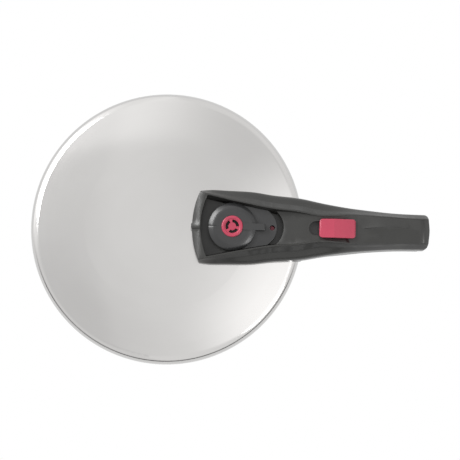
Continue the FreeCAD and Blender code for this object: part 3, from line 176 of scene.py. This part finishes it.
# ------------------------------------------------------------------------------------------------ the pot handle
# One phenolic moulding, dark grey and satin. The mould leaves a fine grain and slight clouds in the colour, and
# its edges are a little rounded and polished by hands.
def moulded_grain_group():
    """Moulded plastic: a fine grain, clouds in the colour, a few pale specks and soft wear in patches."""
    group, given, result = new_group("moulded_grain", [
        ("Color", "NodeSocketColor", (0.1, 0.1, 0.1, 1)), ("Roughness", "NodeSocketFloat", 0.4),
        ("Grain Depth", "NodeSocketFloat", 0.2), ("Grain Pitch", "NodeSocketFloat", 1800.0),
        ("Speck Amount", "NodeSocketFloat", 0.3),
    ], [("Color", "NodeSocketColor"), ("Roughness", "NodeSocketFloat"), ("Normal", "NodeSocketVector")])
    place = node(group, "ShaderNodeTexCoord").outputs["Object"]
    grain = node(group, "ShaderNodeTexNoise", {"Vector": place, "Scale": given.outputs["Grain Pitch"],
                                               "Detail": 3.0}).outputs["Fac"]
    cloud = node(group, "ShaderNodeTexNoise", {"Vector": place, "Scale": 38.0, "Detail": 4.0}).outputs["Fac"]
    wear = node(group, "ShaderNodeTexNoise", {"Vector": place, "Scale": 11.0, "Detail": 3.0}).outputs["Fac"]
    cells = node(group, "ShaderNodeTexVoronoi", {"Vector": place, "Scale": 420.0}).outputs["Distance"]
    speck = maths(group, "MULTIPLY", remap(group, cells, 0.06, 0.14, 1.0, 0.0), given.outputs["Speck Amount"])
    lift = maths(group, "MULTIPLY_ADD", speck, 0.5, remap(group, cloud, 0.3, 0.7, 0.90, 1.10))
    lift = maths(group, "MULTIPLY_ADD", maths(group, "SUBTRACT", grain, 0.5), 0.12, lift)
    shade = node(group, "ShaderNodeVectorMath", {0: given.outputs["Color"], "Scale": lift}, operation="SCALE")
    rough = maths(group, "MULTIPLY_ADD", maths(group, "SUBTRACT", grain, 0.5), 0.12, given.outputs["Roughness"])
    rough = maths(group, "MULTIPLY_ADD", maths(group, "SUBTRACT", wear, 0.5), -0.16, rough)
    bump = node(group, "ShaderNodeBump", {"Height": grain, "Strength": given.outputs["Grain Depth"],
                                          "Distance": 0.00006})
    group.links.new(shade.outputs[0], result.inputs["Color"])
    group.links.new(rough, result.inputs["Roughness"])
    group.links.new(bump.outputs["Normal"], result.inputs["Normal"])
    return group


MOULDED_GRAIN = moulded_grain_group()


def moulded(name, color, roughness, depth, pitch=1800.0, specks=0.2, gloss=0.5):
    """A moulded plastic or rubber."""
    material = bpy.data.materials.new(name)
    material.use_nodes = True
    tree = material.node_tree
    shader = tree.nodes["Principled BSDF"]
    grain = node(tree, "ShaderNodeGroup", node_tree=MOULDED_GRAIN)
    values = {"Color": color, "Roughness": roughness, "Grain Depth": depth, "Grain Pitch": pitch,
              "Speck Amount": specks}
    for label, value in values.items():
        grain.inputs[label].default_value = value
    tree.links.new(grain.outputs["Color"], shader.inputs["Base Color"])
    tree.links.new(grain.outputs["Roughness"], shader.inputs["Roughness"])
    tree.links.new(grain.outputs["Normal"], shader.inputs["Normal"])
    shader.inputs["Specular IOR Level"].default_value = gloss
    return material


GREY = moulded("grey_phenolic", (0.034, 0.034, 0.032, 1), 0.30, 0.22, gloss=0.5)
dress(GREY, "pot_handle", edge=0.0005)

# ------------------------------------------------------------------------------------------------ the gasket
# A moulded silicone ring with two lips, pale grey and matt, lightly dusted. It lies in the lid's corner, and a
# piece of it shows through the window in the lid's skirt.
SILICONE = moulded("silicone", (0.50, 0.51, 0.51, 1), 0.55, 0.25, 900.0, 0.1, 0.4)
dress(SILICONE, "gasket", "valve_seal", "indicator_washer", "indicator_seal")

# ------------------------------------------------------------------------------------------------ the lid
# One disc of stainless steel, drawn to a shallow crown with a round shoulder and polished nearly to a mirror. Its
# skirt is turned in below as lugs. Only soft rings from the polisher and wiping scratches break the shine.
LID_STEEL = metal("lid_steel", (0.600, 0.594, 0.588, 1), (0.580, 0.573, 0.566, 1), 0.13, 0.05, 1500.0, 0.10)
dress(LID_STEEL, "lid_shell")

# ------------------------------------------------------------------------------------------------ the valve
# The valve body is turned from steel and blackened by heat and steam, with a threaded ring of the same metal in
# its mouth. A nut, a perforated guard and the regulator's cone are bright, and the spring is drawn wire.
BLACKENED = metal("blackened_steel", (0.060, 0.055, 0.052, 1), (0.020, 0.018, 0.018, 1), 0.45, 0.5, 1500.0, 0.3)
TURNED_STEEL = metal("turned_steel", (0.60, 0.59, 0.58, 1), (0.50, 0.49, 0.48, 1), 0.26, 0.6, 2400.0, 0.2)
SPRING_STEEL = metal("spring_steel", (0.50, 0.50, 0.51, 1), (0.40, 0.40, 0.41, 1), 0.30, 0.3, 3000.0, 0.2)
dress(BLACKENED, "valve_body", "regulator_screw")
dress(TURNED_STEEL, "valve_nut", "vent_guard", "regulator_plunger", "indicator_nut", "indicator_rod")
dress(SPRING_STEEL, "regulator_spring", "selector_clip", "detent_spring")

# ------------------------------------------------------------------------------------------------ the lid handle
# A deep phenolic shell over the bracket, in the same dark grey as the pot handle: a head with the valve's well and
# two ridges that run out along the grip. A flat cover of the same moulding closes it from below.
dress(GREY, "lid_handle", edge=0.00035, angle=24.0)
dress(GREY, "handle_cover", edge=0.0003)

# ------------------------------------------------------------------------------------------------ the selector
# The hood, the knob and its pointer are moulded in a slightly cooler, smoother grey. A red cap with three curved
# slots snaps into the knob and lets the steam out.
KNOB_GREY = moulded("knob_grey", (0.034, 0.0345, 0.0355, 1), 0.30, 0.14, 2200.0, 0.1, 0.55)
RED = moulded("red_plastic", (0.58, 0.066, 0.120, 1), 0.31, 0.08, 2400.0, 0.15, 0.5)
dress(KNOB_GREY, "valve_housing", edge=0.0006)
dress(KNOB_GREY, "selector_knob", edge=0.0004)
dress(RED, "steam_cap", edge=0.00035)

# ------------------------------------------------------------------------------------------------ the lock
# A red thumb button stands on a slide that runs in a slot of the handle. Under it a stamped steel bar is riveted
# on. The pressure indicator beside the valve has a small tip in the same red.
dress(RED, "lock_button", edge=0.0007)
dress(RED, "indicator_tip", edge=0.0003)
SLIDE_BLACK = moulded("slide_black", (0.026, 0.026, 0.026, 1), 0.42, 0.15, 1500.0, 0.1)
dress(SLIDE_BLACK, "lock_slider")
dress(STAMPED_STEEL, "lock_bar", "lock_rivet")

# ------------------------------------------------------------------------------------------------ table and light
# A broad pale table, white to the eye and in reflections, that still takes the cooker's shadow. The light is a
# studio's: a bright pale room that polished steel mirrors, a big window at the upper left and weak fill.
table = bpy.data.objects.new("table", bpy.data.meshes.new("table"))
TABLE_HALF = 4.0
TABLE_DROP = 0.0002
table_corners = [(x * TABLE_HALF, y * TABLE_HALF, -TABLE_DROP) for x, y in ((-1, -1), (1, -1), (1, 1), (-1, 1))]
table.data.from_pydata(table_corners, [], [(0, 1, 2, 3)])
bpy.context.scene.collection.objects.link(table)
table_white = bpy.data.materials.new("table_white")
table_white.use_nodes = True
tree = table_white.node_tree
tree.nodes.clear()
rays = node(tree, "ShaderNodeLightPath").outputs
seen = maths(tree, "MAXIMUM", maths(tree, "MAXIMUM", rays["Is Camera Ray"], rays["Is Glossy Ray"]),
             rays["Is Transmission Ray"])
plain = node(tree, "ShaderNodeBsdfDiffuse", {"Color": (0.8, 0.8, 0.8, 1)})
glow = node(tree, "ShaderNodeEmission", {"Color": (1, 1, 1, 1), "Strength": 1.0})
covered = node(tree, "ShaderNodeMixShader", {0: seen, 1: plain.outputs[0], 2: glow.outputs[0]})
surface = node(tree, "ShaderNodeOutputMaterial", {"Surface": covered.outputs[0]})
table.data.materials.append(table_white)

world = bpy.data.worlds.new("studio")
bpy.context.scene.world = world
world.use_nodes = True
tree = world.node_tree
tree.nodes.clear()
direction = node(tree, "ShaderNodeTexCoord").outputs["Generated"]


def toward(azimuth, elevation):
    """Unit vector of a direction, angles in degrees from +X and from level."""
    a, e = math.radians(azimuth), math.radians(elevation)
    return (math.cos(a) * math.cos(e), math.sin(a) * math.cos(e), math.sin(e))


def glow_patch(azimuth, elevation, inner, outer, strength):
    """Soft round patch of the room: full inside inner degrees from its middle, nothing beyond outer degrees."""
    facing = node(tree, "ShaderNodeVectorMath", {0: direction, 1: toward(azimuth, elevation)},
                  operation="DOT_PRODUCT").outputs["Value"]
    return node(tree, "ShaderNodeMapRange", {
        "Value": facing, "From Min": math.cos(math.radians(outer)), "From Max": math.cos(math.radians(inner)),
        "To Min": 0.0, "To Max": strength}, interpolation_type="SMOOTHSTEP").outputs[0]


# Across the room's ceiling: how far a direction leans from straight up, along X and along Y.
parts = node(tree, "ShaderNodeSeparateXYZ", {"Vector": direction}).outputs
rise = maths(tree, "MAXIMUM", parts["Z"], 0.02)
lean_x, lean_y = maths(tree, "DIVIDE", parts["X"], rise), maths(tree, "DIVIDE", parts["Y"], rise)
ROOM_LEVEL = 1.08
PATCHES = [
    (-10, 62, 8, 28, 0.62),      # bright wall beyond the handle
    (40, 66, 4, 26, -0.16),      # darker ceiling beside it
    (215, 62, 8, 26, -0.13),     # shade at the near left
    (150, 20, 14, 40, 0.35),     # window wall, low at the left
]
room = ROOM_LEVEL
for patch in PATCHES:
    room = maths(tree, "ADD", glow_patch(*patch), room)
beyond = remap(tree, lean_y, 0.335, 0.365, 0.0, 1.0)
leftward = remap(tree, lean_x, -0.16, 0.10, 1.0, 0.0)
room = maths(tree, "MULTIPLY_ADD", maths(tree, "MULTIPLY", beyond, leftward), 0.26, room)
aside = remap(tree, lean_x, -0.225, -0.195, 1.0, 0.0)
room = maths(tree, "MULTIPLY_ADD", aside, -0.10, room)
near_side = remap(tree, parts["Y"], -0.35, -0.05, 1.0, 0.0)
low = maths(tree, "MULTIPLY", remap(tree, parts["Z"], 0.10, 0.26, 1.0, 0.0), near_side)
room = maths(tree, "MULTIPLY", room, maths(tree, "SUBTRACT", 1.0, maths(tree, "MULTIPLY", low, 0.85)))
AMBIENT = 0.26
rays = node(tree, "ShaderNodeLightPath").outputs
mirrored = maths(tree, "MAXIMUM", rays["Is Glossy Ray"], rays["Is Transmission Ray"])
strength = node(tree, "ShaderNodeMix", {"Factor": mirrored, "A": AMBIENT, "B": room},
                data_type="FLOAT").outputs["Result"]
strength = node(tree, "ShaderNodeMix", {"Factor": rays["Is Camera Ray"], "A": strength, "B": 1.0},
                data_type="FLOAT").outputs["Result"]
background = node(tree, "ShaderNodeBackground", {"Color": (1.0, 0.995, 0.99, 1), "Strength": strength})
sky = node(tree, "ShaderNodeOutputWorld", {"Surface": background.outputs[0]})


def softbox(name, azimuth, elevation, distance, width, depth, power, mirrored_too):
    """A square lamp that faces the lid; polished steel shows it only if mirrored_too."""
    lamp = bpy.data.lights.new(name, "AREA")
    lamp.shape = "RECTANGLE"
    lamp.size, lamp.size_y = width, depth
    lamp.energy = power
    holder = bpy.data.objects.new(name, lamp)
    middle = Vector((0.05, 0.0, 0.18))
    ray = Vector(toward(azimuth, elevation))
    holder.location = middle + ray * distance
    holder.rotation_mode = "QUATERNION"
    holder.rotation_quaternion = (-ray).to_track_quat("-Z", "Y")
    holder.visible_glossy = mirrored_too
    bpy.context.scene.collection.objects.link(holder)


softbox("window", 148, 34, 1.6, 0.9, 0.9, 24.0, True)
softbox("far_side", -35, 40, 1.6, 0.6, 0.6, 6.0, True)

# ------------------------------------------------------------------------------------------------ camera
# It looks almost straight down from the near side, tilted a little, with the handle a touch off level.
RIM_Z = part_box("pot_body")[1].z
VIEW_TILT = math.radians(5.8)
ROLL = math.radians(1.5)
DISTANCE = 1.4
VIEW_WIDTH = 0.4157
AIM_RIGHT = 0.0570
AIM_NEAR = 0.0013
right = Vector((math.cos(ROLL), math.sin(ROLL), 0))
away = Vector((-math.sin(ROLL), math.cos(ROLL), 0))
aim = Vector((0, 0, RIM_Z)) + right * AIM_RIGHT - away * AIM_NEAR
back = -away * math.sin(VIEW_TILT) + Vector((0, 0, 1)) * math.cos(VIEW_TILT)
camera = bpy.data.objects.new("camera", bpy.data.cameras.new("camera"))
camera.data.sensor_width = 36.0
camera.data.lens = camera.data.sensor_width * DISTANCE / VIEW_WIDTH
camera.data.clip_start, camera.data.clip_end = 0.05, 20.0
camera.rotation_mode = "QUATERNION"
camera.location = aim + back * DISTANCE
camera.rotation_quaternion = Matrix((right, back.cross(right), back)).transposed().to_quaternion()
bpy.context.scene.collection.objects.link(camera)
bpy.context.scene.camera = camera

bpy.context.scene.view_settings.view_transform = "Standard"
